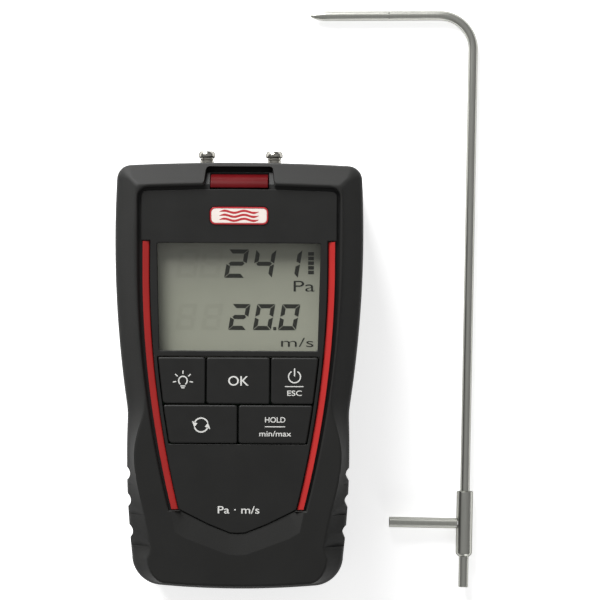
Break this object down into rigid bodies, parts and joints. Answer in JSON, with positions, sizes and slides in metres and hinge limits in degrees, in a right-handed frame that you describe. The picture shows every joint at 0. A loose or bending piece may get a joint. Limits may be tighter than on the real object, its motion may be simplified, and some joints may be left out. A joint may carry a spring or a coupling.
{
  "type": "pitot tube anemometer",
  "caption": "Handheld air-velocity and differential-pressure meter with a display and keypad, in a rubber boot, with its separate L-shaped pitot tube.",
  "frame": {"origin": "centre of the boot's flat back face, on the meter's middle plane", "axes": "+Z out of the display, +Y towards the pressure ports, +X to the display's right; the meter lies on its back and the pitot tube lies on the same plane at its right"},
  "size_m": [0.1203, 0.1945, 0.039],
  "materials": {
    "boot_rubber": "matt moulded elastomer",
    "magnet": "nickel-plated",
    "case_abs": "fine spark-eroded texture",
    "silicone": "moulded",
    "steel": "drawn",
    "face_film": "fine texture",
    "badge_plastic": "glossy, domed",
    "red_plastic": "glossy moulded",
    "clear_window": "polished clear acrylic",
    "lcd": "grey-green reflective display",
    "light_guide": "diffusing",
    "key_rubber": "satin, printed legends",
    "nickel": "nickel-plated brass",
    "board": "glass-epoxy board, green mask",
    "chip": "moulded epoxy",
    "cell": "printed wrap on a steel can",
    "tube_steel": "drawn stainless tube, satin"
  },
  "bodies": {
    "instrument": {"protective_boot": "boot_rubber", "boot_magnet_left": "magnet", "boot_magnet_right": "magnet", "rear_housing": "case_abs", "front_housing": "case_abs", "case_gasket": "silicone", "case_screw_1": "steel", "case_screw_2": "steel", "case_screw_3": "steel", "case_screw_4": "steel", "face_sheet": "face_film", "name_badge": "badge_plastic", "red_stripe_left": "red_plastic", "red_stripe_right": "red_plastic", "indicator_lens": "red_plastic", "display_window": "clear_window", "lcd_bezel": "case_abs", "lcd_panel": "lcd", "backlight_panel": "light_guide", "lcd_connector_strip": "silicone", "switch_light": "nickel", "switch_ok": "nickel", "switch_power": "nickel", "switch_select": "nickel", "switch_hold": "nickel", "main_board": "board", "processor_chip": "chip", "pressure_sensor": "chip", "indicator_led": "light_guide", "port_positive": "nickel", "port_seal_positive": "silicone", "port_nut_positive": "nickel", "sensor_hose_positive": "silicone", "port_negative": "nickel", "port_seal_negative": "silicone", "port_nut_negative": "nickel", "sensor_hose_negative": "silicone", "battery_1": "cell", "battery_spring_1": "steel", "battery_2": "cell", "battery_spring_2": "steel", "battery_3": "cell", "battery_spring_3": "steel", "battery_4": "cell", "battery_spring_4": "steel", "contact_head_left": "nickel", "contact_head_right": "nickel", "contact_foot": "nickel"},
    "light_key": {"key_light": "key_rubber"},
    "ok_key": {"key_ok": "key_rubber"},
    "power_key": {"key_power": "key_rubber"},
    "select_key": {"key_select": "key_rubber"},
    "hold_key": {"key_hold": "key_rubber"},
    "battery_door": {"battery_door": "case_abs"},
    "door_lock": {"door_lock": "nickel"},
    "pitot_tube": {"pitot_outer_tube": "tube_steel", "pitot_inner_tube": "tube_steel", "pitot_collar": "tube_steel", "pitot_static_nipple": "tube_steel"}
  },
  "joints": [
    {"name": "light_key_press", "type": "slide", "parent": "instrument", "child": "light_key", "axis": [0, 0, -1], "range_m": [0, 0.0008], "stiffness_N_per_m": 900},
    {"name": "ok_key_press", "type": "slide", "parent": "instrument", "child": "ok_key", "axis": [0, 0, -1], "range_m": [0, 0.0008], "stiffness_N_per_m": 900},
    {"name": "power_key_press", "type": "slide", "parent": "instrument", "child": "power_key", "axis": [0, 0, -1], "range_m": [0, 0.0008], "stiffness_N_per_m": 900},
    {"name": "select_key_press", "type": "slide", "parent": "instrument", "child": "select_key", "axis": [0, 0, -1], "range_m": [0, 0.0008], "stiffness_N_per_m": 900},
    {"name": "hold_key_press", "type": "slide", "parent": "instrument", "child": "hold_key", "axis": [0, 0, -1], "range_m": [0, 0.0008], "stiffness_N_per_m": 900},
    {"name": "battery_door_hinge", "type": "hinge", "parent": "instrument", "child": "battery_door", "pos_m": [0, -0.0607, 0.0027], "axis": [-1, 0, 0], "range_deg": [0, 75]},
    {"name": "door_lock_turn", "type": "hinge", "parent": "battery_door", "child": "door_lock", "pos_m": [0, -0.009, 0.0035], "axis": [0, 0, -1], "range_deg": [0, 90]},
    {"name": "pitot_lift", "type": "slide", "parent": "instrument", "child": "pitot_tube", "axis": [0, 0, 1], "range_m": [0, 0.1]}
  ]
}
